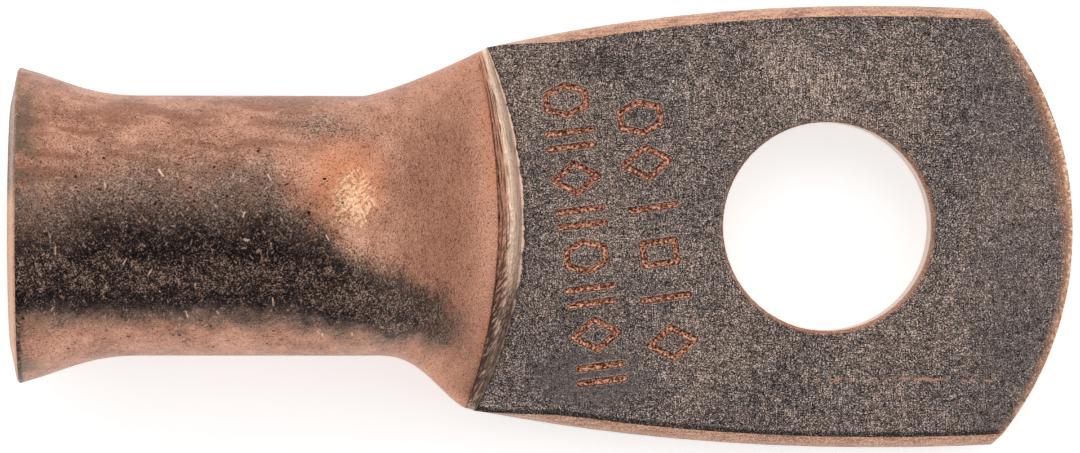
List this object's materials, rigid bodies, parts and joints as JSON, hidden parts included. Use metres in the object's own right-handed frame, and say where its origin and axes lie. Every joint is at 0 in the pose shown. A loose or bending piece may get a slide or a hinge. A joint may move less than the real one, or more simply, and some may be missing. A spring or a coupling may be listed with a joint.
{
  "type": "copper cable lug",
  "caption": "Tube cable lug: flared cable socket, straight crimp barrel, pressed slope and step, and a flat palm with a stud hole and a round end.",
  "frame": {"origin": "centre of the stud hole, on the seating face of the palm (its underside)", "axes": "+X along the lug towards the round end of the palm, with the cable entering from -X; +Z out of the palm's upper face; +Y across the palm"},
  "size_m": [0.0342, 0.0142, 0.0101],
  "materials": {
    "bare_copper": "bare copper, satin, partly tarnished brown on the palm and barrel"
  },
  "bodies": {
    "root": {"lug": "bare_copper"}
  },
  "joints": []
}
